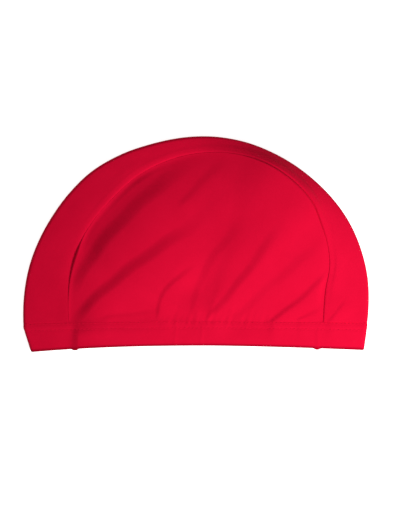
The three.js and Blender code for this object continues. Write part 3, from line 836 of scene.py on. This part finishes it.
def knit_relief(material, along, across):
    """Relief of the knit: rounded ribs along the wales and, on them, loops that lean to the left and to the
    right of each rib in turn, which makes the V of a plain knit. With w as the distance to the nearest edge
    of a wale, up to 0.5, it is RIB_STRENGTH sqrt(w) + LOOP_STRENGTH sin(2 pi (courses + w))."""
    math = "ShaderNodeMath"
    wales = add_node(material, math, {"operation": "DIVIDE"}, i0=across, i1=WALE_SPACING)
    wale = add_node(material, math, {"operation": "PINGPONG"}, i0=wales, i1=0.5)
    lean = add_node(material, math, {"operation": "MULTIPLY_ADD"}, i0=along, i1=1 / COURSE_SPACING, i2=wale)
    turn = add_node(material, math, {"operation": "MULTIPLY"}, i0=lean, i1=2 * np.pi)
    loop = add_node(material, math, {"operation": "SINE"}, i0=turn)
    root = add_node(material, math, {"operation": "SQRT"}, i0=wale)
    rib = add_node(material, math, {"operation": "MULTIPLY"}, i0=root, i1=RIB_STRENGTH)
    return add_node(material, math, {"operation": "MULTIPLY_ADD"}, i0=loop, i1=LOOP_STRENGTH, i2=rib)


def swim_knit(name, turned=False, rim=None):
    """Polyester and elastane swim knit, dyed red: smooth and matt to the eye, because its loops scatter the
    light, with a faint pink sheen where it is seen at a slant. The dye lies a little unevenly. Turned cloth
    has its wales along the first direction of its UV map, and other cloth along the second. Rim says how far
    down the cloth the fold of the rim lies, where shade is painted into the colour: the knit turns darker
    there, standing in for the shade under the folded edge."""
    material = new_material(name)
    cloth = add_node(material, "ShaderNodeUVMap", {"uv_map": "cloth_mm"})
    place = add_node(material, "ShaderNodeTexCoord").outputs["Object"]
    split = add_node(material, "ShaderNodeSeparateXYZ", Vector=cloth)
    across = split.outputs["Y" if turned else "X"]
    along = split.outputs["X" if turned else "Y"]

    # The dye
    mottle = add_node(
        material, "ShaderNodeTexNoise",
        Vector=place, Scale=1 / (MOTTLE_SIZE * MM), Detail=4.0, Roughness=0.55,
    )
    patches = add_node(
        material, "ShaderNodeTexNoise", Vector=place, Scale=1 / (PATCH_SIZE * MM), Detail=2.0,
    )
    both = add_node(material, "ShaderNodeMath", {"operation": "ADD"}, i0=mottle, i1=patches)
    tone = add_node(material, "ShaderNodeMath", {"operation": "MULTIPLY"}, i0=both, i1=0.5)
    dye = add_node(
        material, "ShaderNodeMix", {"data_type": "RGBA"},
        i0=tone, i6=linear(CLOTH_DEEP), i7=linear(CLOTH_BRIGHT),
    )
    colour = dye.outputs[2]
    # Painted shade: the colour darkens towards the fold of the rim, standing in for the shade under the
    # rolled edge
    if rim is not None:
        down = split.outputs["Y"]
        past_rim = add_node(material, "ShaderNodeMath", {"operation": "SUBTRACT"}, i0=down, i1=rim)
        from_rim = add_node(material, "ShaderNodeMath", {"operation": "ABSOLUTE"}, i0=past_rim)
        near = add_node(
            material, "ShaderNodeMapRange", {"interpolation_type": "SMOOTHSTEP"},
            Value=from_rim, From_Min=0.0, From_Max=PAINTED_RIM_SHADE_REACH, To_Min=PAINTED_RIM_SHADE, To_Max=0.0,
        )
        shaded = add_node(
            material, "ShaderNodeMix", {"data_type": "RGBA"}, i0=near, i6=colour, i7=linear(PAINTED_RIM_SHADE_COLOUR),
        )
        colour = shaded.outputs[2]

    # The loops and the fuzz of the yarn
    relief = knit_relief(material, along, across)
    knit = add_node(material, "ShaderNodeBump", Height=relief, Strength=0.35, Distance=KNIT_RELIEF * MM)
    fuzz = add_node(
        material, "ShaderNodeBump", Height=mottle, Strength=0.25, Distance=FUZZ_RELIEF * MM, Normal=knit,
    )
    shader = add_node(
        material, "ShaderNodeBsdfPrincipled",
        Base_Color=colour, Roughness=0.78, Specular_IOR_Level=0.04, Specular_Tint=linear("#ff8095"),
        Sheen_Weight=0.02, Sheen_Roughness=0.4, Sheen_Tint=linear("#ff8fa0"), Normal=fuzz,
    )
    add_node(material, "ShaderNodeOutputMaterial", Surface=shader)
    return material


def thread_material():
    """Twisted polyester sewing thread in the cloth's red, a little glossier than the cloth. The wave
    texture counts 20 radians to a unit, which gives its scale from the spacing of the plies."""
    material = new_material("polyester_thread_red")
    place = add_node(material, "ShaderNodeTexCoord").outputs["Object"]
    scale = 2 * np.pi / (20 * THREAD_PLY * MM)
    twist = add_node(material, "ShaderNodeTexWave", Vector=place, Scale=scale, Distortion=2.0)
    height = twist.outputs["Fac"]
    bump = add_node(material, "ShaderNodeBump", Height=height, Strength=0.4, Distance=THREAD_RELIEF * MM)
    shader = add_node(
        material, "ShaderNodeBsdfPrincipled",
        Base_Color=linear(CLOTH_BRIGHT), Roughness=0.7, Specular_IOR_Level=0.12,
        Specular_Tint=linear("#ff8095"), Normal=bump,
    )
    add_node(material, "ShaderNodeOutputMaterial", Surface=shader)
    return material


knit_panel = swim_knit("swim_knit_panel")
knit_strip = swim_knit("swim_knit_strip", turned=True)
# the hem's knit has shade painted along the fold of its rim
knit_hem = swim_knit("swim_knit_hem", rim=HEM_DEPTH)
thread = thread_material()

vertices, faces = upper_panel()
upper = add_piece("upper_panel_knit", vertices, faces, vertices[:, :2], knit_panel)
vertices, faces = lower_panel()
lower = add_piece("lower_panel_knit", vertices, faces, vertices[:, :2], knit_panel)
strip = add_piece("crown_strip_knit", *crown_strip(), knit_strip)
hem = add_piece("hem_knit", *hem_band(), knit_hem)
stitches = add_piece("cover_stitches", *cover_stitches(), None, thread)

# What each piece rides on and stands in for
for piece, node, slot in (
    (upper, "side_panel_upper", "panel_cloth"),
    (lower, "side_panel_lower", "panel_cloth"),
    (strip, "crown_strip", "strip_cloth"),
    (hem, "hem_band", "hem_cloth"),
):
    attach(piece, "root")
    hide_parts(node)
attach(stitches, "root")


def floor():
    """A plain white floor, much larger than the view. It glows a little, which makes it even."""
    side = 3.0
    mesh = bpy.data.meshes.new("floor")
    corners = [(-side, -side, 0), (side, -side, 0), (side, side, 0), (-side, side, 0)]
    mesh.from_pydata(corners, [], [(0, 1, 2, 3)])
    plane = bpy.data.objects.new("floor", mesh)
    bpy.context.scene.collection.objects.link(plane)
    material = new_material("white_floor")
    shader = add_node(
        material, "ShaderNodeBsdfPrincipled",
        Base_Color=linear("#f4f4f4"), Roughness=0.9,
        Emission_Color=linear("#ffffff"), Emission_Strength=0.7,
    )
    add_node(material, "ShaderNodeOutputMaterial", Surface=shader)
    mesh.materials.append(material)
    plane.visible_diffuse = False  # or the bright floor would light the cloth's edges from below


def soft_light(name, place, target, size, watts):
    light = bpy.data.lights.new(name, "AREA")
    light.shape = "DISK"
    light.size = size
    light.energy = watts
    lamp = bpy.data.objects.new(name, light)
    bpy.context.scene.collection.objects.link(lamp)
    lamp.location = place
    lamp.rotation_euler = (Vector(target) - Vector(place)).to_track_quat("-Z", "Y").to_euler()


floor()
# One light from the lower right of the photo, and an even white surround that fills the shadows
soft_light("key", place=(0.585, -0.63, 0.52), target=(0.0, 0.0, 0.0), size=0.3, watts=15.6)
world = bpy.data.worlds.new("studio")
world.use_nodes = True
surround = world.node_tree.nodes["Background"]
surround.inputs["Color"].default_value = (1, 1, 1, 1)
surround.inputs["Strength"].default_value = 0.45
bpy.context.scene.world = world
bpy.context.scene.view_settings.view_transform = "Standard"

# The camera looks straight down, from where its view is as high as the photo at the height of the fold along
# the outline. In the photo 333 pixels of rim are 240 mm of cloth.
PHOTO_SIZE = (400, 508)
MM_PER_PIXEL = 0.7207
CAP_CENTRE_IN_PHOTO = (196.0, 244.0)
LENS = 200.0
SENSOR = 36.0

camera_data = bpy.data.cameras.new("camera")
camera_data.lens = LENS
camera_data.sensor_fit = "VERTICAL"
camera_data.sensor_height = SENSOR
camera = bpy.data.objects.new("camera", camera_data)
bpy.context.scene.collection.objects.link(camera)
middle = (CAD_BOX[0] + CAD_BOX[1]) / 2
across = PHOTO_SIZE[0] / 2 - CAP_CENTRE_IN_PHOTO[0]
along = CAP_CENTRE_IN_PHOTO[1] - PHOTO_SIZE[1] / 2
camera.location = (
    middle.x + across * MM_PER_PIXEL * MM,
    middle.y + along * MM_PER_PIXEL * MM,
    FOLD_RADIUS * MM + LENS / SENSOR * PHOTO_SIZE[1] * MM_PER_PIXEL * MM,
)
bpy.context.scene.camera = camera
